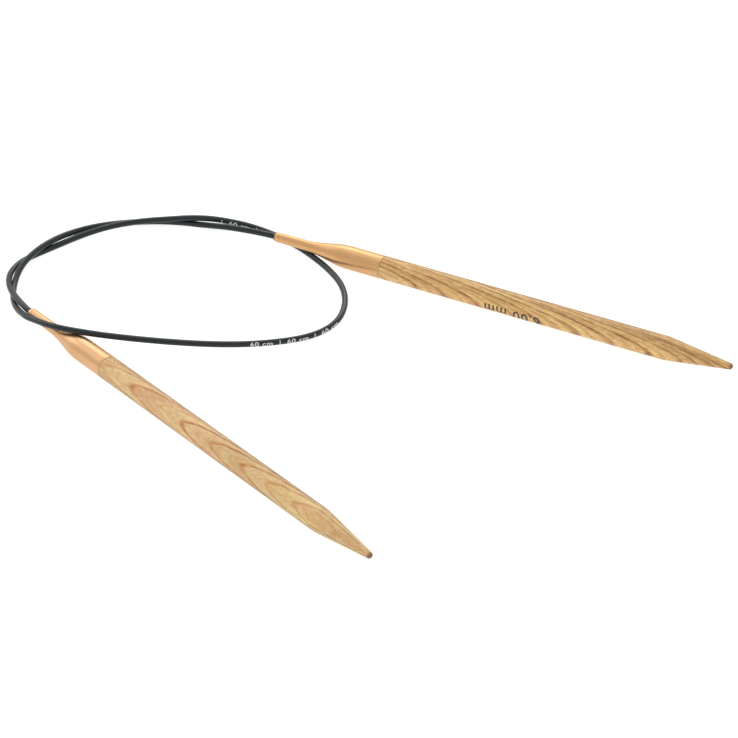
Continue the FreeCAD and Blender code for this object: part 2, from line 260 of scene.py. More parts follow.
def wood(name, needle, lean_deg, to_tip, curve, zones, lines, line_colours,
         tint, wobble, fleck, fineness, streaks, mottling, outline,
         one_side, far, gain, widen, end_colour):
    """Turned wood whose growth layers cross the needle at a slant.

    lean_deg turns the layers' apex round the needle, from straight up towards
    the viewer's side. The layers' cut is s = u -/+ (a x + b x^2), with x = 0
    on the apex and 2 on the far side."""
    material, g, shader = new_material(name)
    s, y, z = g.local(needle)
    lean = math.radians(lean_deg)
    across = g.math(
        "ADD",
        g.math("MULTIPLY", y, -math.sin(lean)),
        g.math("MULTIPLY", z, math.cos(lean)),
    )
    x = g.math("SUBTRACT", 1.0, g.math("DIVIDE", across, SHANK_R))
    a, b = curve
    reach = g.math("MULTIPLY", x, g.math("MULTIPLY_ADD", x, b, a))
    if to_tip:
        u = g.math("ADD", s, reach)
    else:
        u = g.math("SUBTRACT", s, reach)
    # the layers wander slowly, and waver a little
    slow = g.noise(g.combine(g.math("MULTIPLY", s, 0.045),
                             g.math("MULTIPLY", y, 0.16),
                             g.math("MULTIPLY", z, 0.16)), 1.0, 2.0)
    quick = g.noise(g.combine(g.math("MULTIPLY", s, 0.22),
                              g.math("MULTIPLY", y, 0.8),
                              g.math("MULTIPLY", z, 0.8)), 1.0, 2.0)
    u = g.math("MULTIPLY_ADD", g.math("SUBTRACT", slow, 0.5), wobble[0], u)
    u = g.math("MULTIPLY_ADD", g.math("SUBTRACT", quick, 0.5), wobble[1], u)

    low, high = zones[0][0], zones[-1][0]
    body = g.ramp(g.span(u, low, high), [
        ((place - low) / (high - low), srgb(*colour)) for place, colour in zones
    ])
    # where the layers are cut at a slant their lines would be hair-thin; real
    # late wood keeps some width
    dark = rings(g, u, lines)
    for part, strength in widen:
        wide = g.math("MULTIPLY_ADD", g.step(x, 0.02, 0.5), part, u)
        dark = g.math("MAXIMUM", dark,
                      g.math("MULTIPLY", rings(g, wide, lines), strength))
    # a line is strongest where the layer is cut flat, and breaks up in places
    broken = g.noise(g.combine(g.math("MULTIPLY", s, 0.16),
                               g.math("MULTIPLY", y, 0.7),
                               g.math("MULTIPLY", z, 0.7)), 1.7, 2.0)
    dark = g.math("MULTIPLY", dark, g.span(broken, 0.36, 0.60, 0.50, 1.20))
    beside = g.math(
        "ADD",
        g.math("MULTIPLY", y, math.cos(lean)),
        g.math("MULTIPLY", z, math.sin(lean)),
    )
    dark = g.math("MULTIPLY", dark, g.step(beside, -2.2, 1.2, one_side, 1.0))
    dark = g.math("MULTIPLY", dark, g.step(x, 0.55, 1.0, 1.0, far))

    # finer lines between the main ones, following the same layers
    fine = g.noise(g.combine(g.math("MULTIPLY", u, 0.62),
                             g.math("MULTIPLY", s, 0.03),
                             g.math("MULTIPLY", across, 0.10)), 1.0, 3.0, 0.68)
    # thin dark streaks where the layers are cut at a slant
    thin = g.noise(g.combine(g.math("MULTIPLY", u, 0.17),
                             g.math("MULTIPLY", s, 0.02),
                             g.math("MULTIPLY", across, 0.25)), 1.0, 2.0, 0.75)
    slanted = g.step(x, 0.55, 1.25)
    # fibres: long thin streaks, then short open pores
    fibre = g.noise(g.combine(g.math("MULTIPLY", s, 0.13),
                              g.math("MULTIPLY", y, 2.6),
                              g.math("MULTIPLY", z, 2.6)), 1.0, 4.0, 0.66)
    pores = g.noise(g.combine(g.math("MULTIPLY", s, 0.55),
                              g.math("MULTIPLY", y, 7.5),
                              g.math("MULTIPLY", z, 7.5)), 1.0, 2.0, 0.6)
    pore = g.step(pores, 0.58, 0.72)
    patch = g.noise(g.combine(g.math("MULTIPLY", s, 0.07),
                              g.math("MULTIPLY", y, 0.45),
                              g.math("MULTIPLY", z, 0.45)), 1.0, 2.0)
    # mottling, a millimetre or two across: redder here, yellower there
    mottle = g.noise(g.combine(g.math("MULTIPLY", s, 0.50),
                               g.math("MULTIPLY", y, 1.15),
                               g.math("MULTIPLY", z, 1.15)), 1.0, 3.0, 0.62)
    grains = g.noise(g.combine(g.math("MULTIPLY", s, 0.95),
                               g.math("MULTIPLY", y, 2.1),
                               g.math("MULTIPLY", z, 2.1)), 1.0, 2.0, 0.6)

    colour = g.mix(g.span(patch, 0.35, 0.65, 0.0, 0.32), body, srgb(*tint))
    colour = g.mix(g.span(fine, 0.46, 0.66, 0.0, fineness), colour,
                   srgb(*line_colours[2]))
    colour = g.mix(g.span(fine, 0.48, 0.30, 0.0, fineness * 0.6), colour,
                   srgb(*line_colours[3]))
    colour = g.mix(g.math("MULTIPLY", slanted,
                          g.step(thin, 0.50, 0.60, 0.0, streaks)), colour,
                   srgb(*line_colours[1]))
    colour = g.mix(g.span(fibre, 0.42, 0.68, 0.0, 0.42), colour,
                   srgb(*line_colours[2]))
    colour = g.mix(g.span(mottle, 0.48, 0.68, 0.0, mottling[0]), colour,
                   srgb(*mottling[1]))
    colour = g.mix(g.span(mottle, 0.52, 0.32, 0.0, mottling[0]), colour,
                   srgb(*mottling[2]))
    colour = g.mix(g.span(grains, 0.54, 0.70, 0.0, 0.30), colour,
                   srgb(*line_colours[2]))
    colour = g.mix(g.span(grains, 0.46, 0.30, 0.0, 0.30), colour,
                   srgb(*line_colours[3]))
    colour = g.mix(g.math("MULTIPLY", dark, 0.95, clamp=True), colour,
                   g.mix(g.step(x, 0.0, 0.5), srgb(*line_colours[0]),
                         srgb(*line_colours[1])))
    colour = g.mix(g.math("MULTIPLY", pore, fleck), colour,
                   srgb(*line_colours[1]))
    # handling and the pointing wheel darken the very end and the seam
    end = g.step(s, 124.4, 125.5)
    seam = g.step(s, 31.5, 31.0)
    colour = g.mix(g.math("MULTIPLY", end, 0.80), colour, srgb(*end_colour))
    colour = g.mix(g.math("MULTIPLY", seam, 0.35), colour, srgb(*end_colour))

    # painted shade: darker where the surface turns away from the view, less so on
    # the underside; outline sets how dark
    facing = g.tree.nodes.new("ShaderNodeLayerWeight")
    facing.inputs["Blend"].default_value = 0.5
    painted_edge_shade = g.step(facing.outputs["Facing"], 0.50, 0.95, 0.0, outline)
    painted_edge_shade = g.math("MULTIPLY", painted_edge_shade, g.step(z, -2.4, 1.0, 0.45, 0.88))
    colour = g.mix(painted_edge_shade, colour, g.mix(
        1.0, colour, (0.46, 0.42, 0.40), "MULTIPLY"))
    colour = g.mix(1.0, colour, gain, "MULTIPLY")
    g.link(colour, shader.inputs["Base Color"])
    rough = g.math("MULTIPLY_ADD", pore, 0.18, g.span(fibre, 0.3, 0.7, 0.40, 0.52))
    rough = g.math("MULTIPLY_ADD", dark, -0.05, rough)
    g.link(rough, shader.inputs["Roughness"])
    shader.inputs["IOR"].default_value = 1.45
    shader.inputs["Coat Weight"].default_value = 0.10
    shader.inputs["Coat Roughness"].default_value = 0.28
    height = g.math("MULTIPLY_ADD", pore, -0.9,
                    g.math("MULTIPLY_ADD", dark, 0.35,
                           g.math("MULTIPLY", fibre, 0.55)))
    g.link(g.bump(height, 0.014, 0.8), shader.inputs["Normal"])
    return material


def metal(name, colour, shade, rough, needle=None, lathe_lines=0.0):
    material, g, shader = new_material(name)
    at = g.object_mm()
    if needle is not None:
        s, y, z = g.local(needle)
        # turning marks run round the ferrule, polishing marks along it
        turned = g.noise(g.combine(g.math("MULTIPLY", s, 9.0),
                                   g.math("MULTIPLY", y, 0.3),
                                   g.math("MULTIPLY", z, 0.3)), 1.0, 3.0, 0.6)
        rubbed = g.noise(g.combine(g.math("MULTIPLY", s, 0.25),
                                   g.math("MULTIPLY", y, 5.0),
                                   g.math("MULTIPLY", z, 5.0)), 1.0, 3.0, 0.6)
        cloud = g.noise(g.combine(g.math("MULTIPLY", s, 0.12),
                                  g.math("MULTIPLY", y, 0.35),
                                  g.math("MULTIPLY", z, 0.35)), 1.0, 2.0)
        edge = g.math("MAXIMUM", g.step(s, 1.3, 0.6), g.step(s, 30.75, 30.96))
        mouth = g.step(s, 0.62, 0.22)
    else:
        turned = g.noise(at, 6.0, 3.0)
        rubbed = g.noise(at, 2.0, 3.0)
        cloud = g.noise(at, 0.5, 2.0)
        edge = mouth = None
    tone = g.mix(g.span(cloud, 0.35, 0.65), srgb(*colour), srgb(*shade))
    tone = g.mix(g.span(rubbed, 0.35, 0.7, 0.0, 0.06), tone,
                 srgb(*[min(255, c + 14) for c in colour]))
    if edge is not None:
        # painted highlight: the rims at the nose and at the wide end are lightened
        tone = g.mix(g.math("MULTIPLY", edge, 0.18), tone, srgb(236, 208, 176))
        # painted shade and a painted reflection of the dark cable: dark brown round
        # the cable's mouth
        tone = g.mix(g.math("MULTIPLY", mouth, 0.85), tone, srgb(96, 56, 30))
    g.link(tone, shader.inputs["Base Color"])
    shader.inputs["Metallic"].default_value = 1.0
    g.link(g.math("ADD", g.span(rubbed, 0.3, 0.7, rough - 0.015, rough + 0.02),
                  g.span(cloud, 0.4, 0.7, 0.0, 0.04)),
           shader.inputs["Roughness"])
    height = g.math("ADD", g.math("MULTIPLY", turned, 0.7),
                    g.math("MULTIPLY", rubbed, 0.3))
    g.link(g.bump(height, 0.0012, 0.35 + lathe_lines), shader.inputs["Normal"])
    return material


def plastic(name, colour, worn):
    material, g, shader = new_material(name)
    at = g.object_mm()
    fine = g.noise(at, 2.6, 3.0, 0.6)
    grains = g.noise(at, 14.0, 2.0, 0.5)
    dust = g.step(g.noise(at, 5.0, 3.0, 0.7), 0.66, 0.80)
    tone = g.mix(g.span(fine, 0.3, 0.7), srgb(*colour), srgb(*worn))
    tone = g.mix(g.math("MULTIPLY", dust, 0.10), tone, srgb(120, 124, 124))
    g.link(tone, shader.inputs["Base Color"])
    g.link(g.math("ADD", g.span(fine, 0.3, 0.7, 0.21, 0.27),
                  g.math("MULTIPLY", dust, 0.12)), shader.inputs["Roughness"])
    shader.inputs["IOR"].default_value = 1.52
    shader.inputs["Specular Tint"].default_value = (0.86, 0.96, 1.0, 1.0)
    g.link(g.bump(grains, 0.002, 0.3, g.bump(fine, 0.008, 0.15)),
           shader.inputs["Normal"])
    return material


def print_ink(name, colour, rough):
    material, g, shader = new_material(name)
    at = g.object_mm()
    blotch = g.noise(at, 4.0, 3.0, 0.6)
    g.link(g.mix(g.span(blotch, 0.3, 0.75), srgb(*colour[0]), srgb(*colour[1])),
           shader.inputs["Base Color"])
    shader.inputs["Roughness"].default_value = rough
    g.link(g.bump(blotch, 0.006, 0.5), shader.inputs["Normal"])
    return material


# --------------------------------------------------------------------- meshes
def add_object(name, mesh, materials):
    for m in materials:
        mesh.materials.append(m)
    o = bpy.data.objects.new(name, mesh)
    COLLECTION.objects.link(o)
    return o


def lathe(name, needle, profile, sides, materials, sharp=28):
    """Revolve a closed outline of (station, radius) points about a needle."""
    bm = bmesh.new()
    centre = needle["nose"]
    rows = []
    for s, r in profile:
        at = centre + needle["axis"] * s
        if r < 1e-6:
            rows.append([bm.verts.new(Vector(at * MM))])
            continue
        row = []
        for k in range(sides):
            a = 2 * math.pi * k / sides
            p = at + r * (math.cos(a) * needle["side"] + math.sin(a) * needle["up"])
            row.append(bm.verts.new(Vector(p * MM)))
        rows.append(row)
    closed = len(rows[0]) > 1 or len(rows[-1]) > 1
    pairs = list(zip(rows, rows[1:]))
    if closed:
        pairs.append((rows[-1], rows[0]))
    for one, two in pairs:
        if len(one) == 1 and len(two) == 1:
            continue
        for k in range(sides):
            n = (k + 1) % sides
            if len(one) == 1:
                bm.faces.new((one[0], two[k], two[n]))
            elif len(two) == 1:
                bm.faces.new((one[k], two[0], one[n]))
            else:
                bm.faces.new((one[k], two[k], two[n], one[n]))
    bmesh.ops.recalc_face_normals(bm, faces=bm.faces)
    mesh = bpy.data.meshes.new(name)
    bm.to_mesh(mesh)
    bm.free()
    mesh.shade_smooth()
    mesh.set_sharp_from_angle(angle=math.radians(sharp))
    return add_object(name, mesh, materials)


def arc_points(a, b, c, count):
    """Points on the circle through a, b and c, from a to c."""
    (ax, ay), (bx, by), (cx, cy) = a, b, c
    d = 2 * (ax * (by - cy) + bx * (cy - ay) + cx * (ay - by))
    ux = ((ax**2 + ay**2) * (by - cy) + (bx**2 + by**2) * (cy - ay)
          + (cx**2 + cy**2) * (ay - by)) / d
    uy = ((ax**2 + ay**2) * (cx - bx) + (bx**2 + by**2) * (ax - cx)
          + (cx**2 + cy**2) * (bx - ax)) / d
    r = math.hypot(ax - ux, ay - uy)
    first = math.atan2(ay - uy, ax - ux)
    last = math.atan2(cy - uy, cx - ux)
    turn = (last - first + math.pi) % (2 * math.pi) - math.pi
    return [
        (ux + r * math.cos(first + turn * k / count),
         uy + r * math.sin(first + turn * k / count))
        for k in range(count + 1)
    ]


def along(a, b, step):
    n = max(1, math.ceil(math.hypot(b[0] - a[0], b[1] - a[1]) / step))
    return [(a[0] + (b[0] - a[0]) * k / n, a[1] + (b[1] - a[1]) * k / n)
            for k in range(n + 1)]


def outline(*runs):
    """Join runs of points, leaving out the doubled ones."""
    points = []
    for run in runs:
        for p in run:
            if not points or math.hypot(p[0] - points[-1][0],
                                        p[1] - points[-1][1]) > 1e-5:
                points.append(p)
    return points


def wood_outline():
    tip_end, tip_r, shoulder, fillet_r = 125.66, 0.85, 108.56, 12.0
    start = 31.02
    centre = tip_end - tip_r
    reach = math.hypot(centre - shoulder, SHANK_R)
    slope = math.atan2(SHANK_R, centre - shoulder) - math.asin(tip_r / reach)
    cut = fillet_r * math.tan(slope / 2)
    first = (shoulder - cut, SHANK_R)
    middle = (shoulder - cut + fillet_r * math.sin(slope / 2),
              SHANK_R - fillet_r * (1 - math.cos(slope / 2)))
    last = (shoulder + cut * math.cos(slope), SHANK_R - cut * math.sin(slope))
    tip = [(centre + tip_r * math.sin(slope + (math.pi / 2 - slope) * k / 10),
            tip_r * math.cos(slope + (math.pi / 2 - slope) * k / 10))
           for k in range(11)]
    tip[-1] = (tip_end, 0.0)
    edge = arc_points((start, 2.94), (start + 0.018, 2.982),
                      (start + 0.06, SHANK_R), 3)
    return outline(
        [(21.80, 0.0)], along((21.80, 2.10), (22.10, 2.40), 1),
        along((22.10, 2.40), (start, 2.40), 3), edge,
        along((start + 0.06, SHANK_R), first, 1.2),
        arc_points(first, middle, last, 8), along(last, tip[0], 0.8), tip,
    )


def fillet(corner, in_slope, out_slope, radius, count):
    a, b = math.atan(in_slope), math.atan(out_slope)
    turn = b - a
    cut = radius * abs(math.tan(turn / 2))
    start = (corner[0] - cut * math.cos(a), corner[1] - cut * math.sin(a))
    side = math.copysign(1, turn)
    centre = (start[0] - side * radius * math.sin(a),
              start[1] + side * radius * math.cos(a))
    return [(centre[0] + side * radius * math.sin(a + turn * k / count),
             centre[1] - side * radius * math.cos(a + turn * k / count))
            for k in range(count + 1)]


def ferrule_outline():
    neck_slope, flare_slope = 0.0103, 0.198
    neck_0 = 1.30 - neck_slope * 3.2
    flare_0 = 2.12 - flare_slope * 15.0
    s = (neck_0 - flare_0) / (flare_slope - neck_slope)
    low = fillet((s, neck_0 + neck_slope * s), neck_slope, flare_slope, 26.0, 14)
    s = (SHANK_R - flare_0) / flare_slope
    high = fillet((s, SHANK_R), flare_slope, 0.0, 23.5, 14)
    mouth = arc_points((0.0, 0.93), (0.03, 0.865), (0.09, 0.84), 4)
    return outline(
        arc_points((0.0, 1.02), (0.35, 1.18), (1.30, 1.27), 10),
        along((1.30, 1.27), (3.20, 1.30), 0.7),
        along((3.20, 1.30), low[0], 0.8), low, along(low[-1], high[0], 0.7),
        high, along(high[-1], (30.92, SHANK_R), 0.9),
        arc_points((30.92, SHANK_R), (30.976, 2.977), (31.00, 2.92), 4),
        [(31.00, 2.54), (30.88, 2.42)], along((30.88, 2.42), (21.60, 2.42), 3),
        [(17.60, 1.20)], along((17.60, 1.20), (12.0, 1.20), 3),
        along((12.0, 0.84), (0.09, 0.84), 3), mouth[::-1][:-1],
        [(0.0, 0.93)],
    )


# ---------------------------------------------------------------- the cable
# the cable's centre line from the left ferrule to the right one, one run per
# CAD segment, in the frame's millimetres
CABLE_RUNS = [
    [(-82.320, 24.430, 3.000), (-83.837, 26.469, 2.985), (-85.302, 28.714, 2.924),
     (-86.621, 31.035, 2.794)],
    [(-86.621, 31.035, 2.794), (-87.666, 33.185, 2.616), (-88.504, 35.416, 2.404),
     (-89.100, 37.729, 2.141), (-89.415, 40.117, 1.853), (-89.398, 42.538, 1.575),
     (-88.994, 44.914, 1.345), (-88.179, 47.158, 1.175), (-86.982, 49.209, 1.048),
     (-85.454, 51.053, 0.935), (-83.714, 52.733, 0.838)],
    [(-83.714, 52.733, 0.838), (-81.869, 54.304, 0.791), (-79.971, 55.795, 0.809),
     (-78.025, 57.206, 0.900), (-76.026, 58.532, 1.058), (-73.973, 59.769, 1.267),
     (-71.861, 60.908, 1.492), (-69.696, 61.947, 1.714), (-67.480, 62.882, 1.911),
     (-65.221, 63.710, 2.070), (-62.924, 64.431, 2.186)],
    [(-62.924, 64.431, 2.186), (-60.596, 65.044, 2.261), (-58.242, 65.551, 2.304),
     (-55.869, 65.955, 2.327), (-53.481, 66.263, 2.348), (-51.083, 66.491, 2.378),
     (-48.678, 66.669, 2.453), (-46.269, 66.826, 2.519), (-43.860, 66.975, 2.490),
     (-41.455, 67.105, 2.329), (-39.057, 67.163, 2.068)],
    [(-39.057, 67.163, 2.068), (-36.671, 67.079, 1.756), (-34.305, 66.789, 1.443),
     (-31.965, 66.296, 1.210), (-29.680, 65.561, 1.032), (-27.471, 64.592, 0.909),
     (-25.353, 63.426, 0.834), (-23.326, 62.111, 0.797), (-21.387, 60.684, 0.796),
     (-19.530, 59.164, 0.796), (-17.749, 57.553, 0.795)],
    [(-17.749, 57.553, 0.795), (-16.048, 55.844, 0.790), (-14.423, 54.054, 0.790),
     (-12.875, 52.197, 0.790), (-11.404, 50.288, 0.790), (-10.000, 48.342, 0.799),
     (-8.675, 46.335, 0.799), (-7.440, 44.264, 0.796), (-6.330, 42.117, 0.796),
     (-5.404, 39.890, 0.799), (-4.713, 37.587, 0.804)],
    [(-4.713, 37.587, 0.804), (-4.281, 35.227, 0.809), (-4.108, 32.835, 0.812),
     (-4.191, 30.427, 0.812), (-4.543, 28.022, 0.808), (-5.193, 25.679, 0.802),
     (-6.177, 23.482, 0.796), (-7.503, 21.502, 0.796), (-9.137, 19.768, 0.810),
     (-11.020, 18.278, 0.855), (-13.077, 17.007, 0.949)],
    [(-13.077, 17.007, 0.949), (-15.243, 15.922, 1.094), (-17.474, 14.994, 1.274),
     (-19.743, 14.200, 1.463), (-22.038, 13.520, 1.649), (-24.357, 12.938, 1.833),
     (-26.698, 12.442, 2.023), (-29.059, 12.019, 2.223), (-31.435, 11.662, 2.437),
     (-33.823, 11.362, 2.664), (-36.218, 11.112, 2.904)],
    [(-36.218, 11.112, 2.904), (-38.614, 10.908, 3.154), (-41.008, 10.742, 3.414),
     (-43.398, 10.611, 3.682), (-45.783, 10.510, 3.956), (-48.164, 10.431, 4.237),
     (-50.545, 10.373, 4.528), (-52.929, 10.331, 4.829), (-55.319, 10.309, 5.137),
     (-57.718, 10.315, 5.449), (-60.123, 10.365, 5.753)],
    [(-60.123, 10.365, 5.753), (-62.529, 10.484, 6.032), (-64.923, 10.711, 6.270),
     (-67.288, 11.093, 6.435), (-69.605, 11.681, 6.456), (-71.843, 12.512, 6.335),
     (-73.982, 13.585, 6.063), (-75.993, 14.877, 5.703), (-77.866, 16.348, 5.280),
     (-79.599, 17.959, 4.797), (-81.255, 19.622, 4.260)],
    [(-81.255, 19.622, 4.260), (-82.784, 21.374, 3.653), (-84.005, 23.373, 2.979),
     (-85.096, 25.443, 2.329), (-86.064, 27.573, 1.759), (-86.852, 29.798, 1.290),
     (-87.440, 32.114, 0.959), (-87.817, 34.491, 0.790), (-88.005, 36.894, 0.798),
     (-87.977, 39.299, 1.011), (-87.722, 41.676, 1.351)],
    [(-87.722, 41.676, 1.351), (-87.231, 44.000, 1.718), (-86.507, 46.258, 2.047),
     (-85.533, 48.443, 2.285), (-84.369, 50.552, 2.433), (-83.068, 52.586, 2.493),
     (-81.664, 54.545, 2.458), (-80.171, 56.426, 2.337), (-78.584, 58.223, 2.151),
     (-76.887, 59.922, 1.924), (-75.072, 61.499, 1.681)],
    [(-75.072, 61.499, 1.681), (-73.138, 62.930, 1.449), (-71.089, 64.184, 1.240),
     (-68.937, 65.242, 1.067), (-66.698, 66.096, 0.936), (-64.390, 66.753, 0.849),
     (-62.030, 67.230, 0.804), (-59.638, 67.550, 0.796), (-57.228, 67.739, 0.803),
     (-54.812, 67.816, 0.817), (-52.398, 67.793, 0.819)],
    [(-52.398, 67.793, 0.819), (-49.993, 67.673, 0.796), (-47.605, 67.432, 0.790),
     (-45.236, 67.061, 0.790), (-42.895, 66.531, 0.812), (-40.589, 65.842, 1.017),
     (-38.323, 65.031, 1.308), (-36.093, 64.155, 1.650), (-33.896, 63.215, 1.948),
     (-31.723, 62.230, 2.208), (-29.560, 61.220, 2.453)],
    [(-29.560, 61.220, 2.453), (-27.167, 60.078, 2.703), (-24.769, 58.913, 2.898),
     (-22.330, 57.710, 3.000)],
]

CABLE_R = 0.79
CABLE_INNER_END = 17.0


def spline(points, first, last):
    """Clamped cubic spline through the points, by chord length."""
    p = np.array(points, float)
    t = np.concatenate([[0], np.cumsum(np.linalg.norm(np.diff(p, axis=0), axis=1))])
    h = np.diff(t)
    n = len(p)
    m = np.zeros((n, n))
    b = np.zeros((n, 3))
    m[0, 0] = m[-1, -1] = 1
    b[0], b[-1] = first, last
    for i in range(1, n - 1):
        m[i, i - 1], m[i, i + 1] = h[i], h[i - 1]
        m[i, i] = 2 * (h[i] + h[i - 1])
        b[i] = 3 * (h[i - 1] * (p[i + 1] - p[i]) / h[i]
                    + h[i] * (p[i] - p[i - 1]) / h[i - 1])
    slopes = np.linalg.solve(m, b)

    def at(x):
        i = int(np.clip(np.searchsorted(t, x, side="right") - 1, 0, n - 2))
        u = (x - t[i]) / h[i]
        return ((2 * u**3 - 3 * u**2 + 1) * p[i] + (u**3 - 2 * u**2 + u) * h[i]
                * slopes[i] + (-2 * u**3 + 3 * u**2) * p[i + 1]
                + (u**3 - u**2) * h[i] * slopes[i + 1])

    return at, t


left, right = NEEDLES["left"], NEEDLES["right"]
cable_points = [list(CABLE_RUNS[0][0])]
run_ends = [0]
for run in CABLE_RUNS:
    cable_points += [list(p) for p in run[1:]]
    run_ends.append(len(cable_points) - 1)
cable_points[0] = list(left["nose"])
cable_points[-1] = list(right["nose"])
cable_at, cable_t = spline(cable_points, -left["axis"], right["axis"])
LENGTH = cable_t[-1]

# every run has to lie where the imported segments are
for i, run in enumerate(CABLE_RUNS):
    low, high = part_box("cable_segment_%02d" % (i + 1))
    for p in run:
        for k in range(3):
            assert low[k] / MM - 0.9 <= p[k] <= high[k] / MM + 0.9, (i, p)


def cable_place(x):
    """A point of the centre line; outside the free part, inside a ferrule."""
    if x < 0:
        return left["nose"] - left["axis"] * x
    if x > LENGTH:
        return right["nose"] + right["axis"] * (x - LENGTH)
    return cable_at(x)


hinge_x = [cable_t[i] for i in run_ends[1:-1]]
for x, p in zip(hinge_x, HINGES):
    assert np.linalg.norm(cable_place(x) - p) < 0.2, (x, p)

# a grid of stations along the cable with a frame carried along it
cuts = [-CABLE_INNER_END]
cuts += [(a + b) / 2 for a, b in zip(hinge_x, hinge_x[1:])]
cuts += [LENGTH + CABLE_INNER_END]
STATIONS, CUT_AT = [], [0]
for a, b in zip(cuts, cuts[1:]):
    n = round((b - a) / 0.30)
    STATIONS += [a + (b - a) * k / n for k in range(n)]
    CUT_AT.append(len(STATIONS))
STATIONS.append(cuts[-1])
PLACES = np.array([cable_place(x) for x in STATIONS])
DIRECTIONS = np.array([
    cable_place(x + 0.05) - cable_place(x - 0.05) for x in STATIONS])
DIRECTIONS /= np.linalg.norm(DIRECTIONS, axis=1)[:, None]
NORMALS = [np.array([0.0, 0.0, 1.0])]
for a, b in zip(DIRECTIONS, DIRECTIONS[1:]):
    n = NORMALS[-1]
    v = np.cross(a, b)
    c = a @ b
    n = n + np.cross(v, n) + np.cross(v, np.cross(v, n)) / (1 + c)
    n -= (n @ b) * b
    NORMALS.append(n / np.linalg.norm(n))
NORMALS = np.array(NORMALS)


def frame_at(x):
    """Place, direction and carried normal at a station of the cable."""
    i = int(np.clip(np.searchsorted(STATIONS, x) - 1, 0, len(STATIONS) - 2))
    f = (x - STATIONS[i]) / (STATIONS[i + 1] - STATIONS[i])
    p = PLACES[i] * (1 - f) + PLACES[i + 1] * f
    d = DIRECTIONS[i] * (1 - f) + DIRECTIONS[i + 1] * f
    n = NORMALS[i] * (1 - f) + NORMALS[i + 1] * f
    d /= np.linalg.norm(d)
    n -= (n @ d) * d
    return p, d, n / np.linalg.norm(n)


def cable_piece(number, materials, marks):
    """The cable from the middle of one segment to the middle of the next."""
    first, last = CUT_AT[number - 1], CUT_AT[number]
    sides = 36
    bm = bmesh.new()
    rows = []
    for i in range(first, last + 1):
        p, d, n = PLACES[i], DIRECTIONS[i], NORMALS[i]
        b = np.cross(d, n)
        x = STATIONS[i]
        r = CABLE_R
        ends = min(x + CABLE_INNER_END, LENGTH + CABLE_INNER_END - x)
        if ends < 0.2:      # softened cut ends, inside the crimp sleeves
            r = CABLE_R - 0.12 * (1 - ends / 0.2)
        # drawn plastic is never quite even
        r -= 0.004 * (1 + math.sin(x * 0.9) * math.sin(x * 0.37 + 1))
        rows.append([
            bm.verts.new(Vector((p + r * (math.cos(a) * n + math.sin(a) * b)) * MM))
            for a in [2 * math.pi * k / sides for k in range(sides)]
        ])
    for one, two in zip(rows, rows[1:]):
        for k in range(sides):
            n = (k + 1) % sides
            bm.faces.new((one[k], one[n], two[n], two[k]))
    bm.faces.new(rows[0][::-1])
    bm.faces.new(rows[-1])
    bmesh.ops.recalc_face_normals(bm, faces=bm.faces)
    for f in bm.faces:
        f.smooth = len(f.verts) == 4
    for points, faces in marks:
        made = [bm.verts.new(Vector(p * MM)) for p in points]
        for f in faces:
            face = bm.faces.new([made[k] for k in f])
            face.material_index = 1
    name = "cable_piece_%02d" % number
    mesh = bpy.data.meshes.new(name)
    bm.to_mesh(mesh)
    bm.free()
    mesh.set_sharp_from_angle(angle=math.radians(50))
    return add_object(name, mesh, materials)


# ------------------------------------------------------------------ lettering
def glyphs(text, height, spacing=1.0, weight=0.0, bar=0.0):
    """The text as flat, filled, separate letters: a list of (points, faces),
    in millimetres, baseline at 0, starting at 0. Every letter is a closed
    solid from z = -1 to z = +1."""
    curve = bpy.data.curves.new("letters", "FONT")
    curve.body = text
    curve.size = 1.0
    curve.space_character = spacing
    curve.offset = weight
    curve.extrude = 1.0
    curve.resolution_u = 5
    holder = bpy.data.objects.new("letters", curve)
    COLLECTION.objects.link(holder)
    bpy.context.view_layer.update()
    mesh = bpy.data.meshes.new_from_object(holder)
    bpy.data.objects.remove(holder)
    bm = bmesh.new()
    bm.from_mesh(mesh)
    bmesh.ops.remove_doubles(bm, verts=bm.verts, dist=1e-5)
    bmesh.ops.recalc_face_normals(bm, faces=bm.faces)
    scale = height / 0.69       # the built-in font's capitals are 0.69 tall
    for v in bm.verts:
        v.co.x *= scale
        v.co.y *= scale
    # cut across in narrow strips, so that the letters can wrap round a rod
    top = max(v.co.y for v in bm.verts)
    bottom = min(v.co.y for v in bm.verts)
    strip = height / 14
    y = bottom + strip
    while y < top - 1e-6:
        bmesh.ops.bisect_plane(
            bm, geom=bm.verts[:] + bm.edges[:] + bm.faces[:],
            plane_co=(0, y, 0), plane_no=(0, 1, 0))
        y += strip
    bmesh.ops.triangulate(bm, faces=[f for f in bm.faces if len(f.verts) > 4])
    bm.verts.index_update()
    # split into letters
    seen, letters = set(), []
    for v in bm.verts:
        if v.index in seen:
            continue
        island, todo = [], [v]
        seen.add(v.index)
        while todo:
            w = todo.pop()
            island.append(w)
            for e in w.link_edges:
                o = e.other_vert(w)
                if o.index not in seen:
                    seen.add(o.index)
                    todo.append(o)
        index = {w.index: k for k, w in enumerate(island)}
        faces = {f for w in island for f in w.link_faces}
        letters.append((
            np.array([tuple(w.co) for w in island]),
            [[index[w.index] for w in f.verts]
             for f in sorted(faces, key=lambda f: f.index)],
        ))
    bm.free()
    bpy.data.meshes.remove(mesh)
    return letters


def text_width(letters):
    return max(p[:, 0].max() for p, f in letters)


def rows_from(places):
    """Growth lines as (place, rise, fall, strength)."""
    return [tuple(p) for p in places]


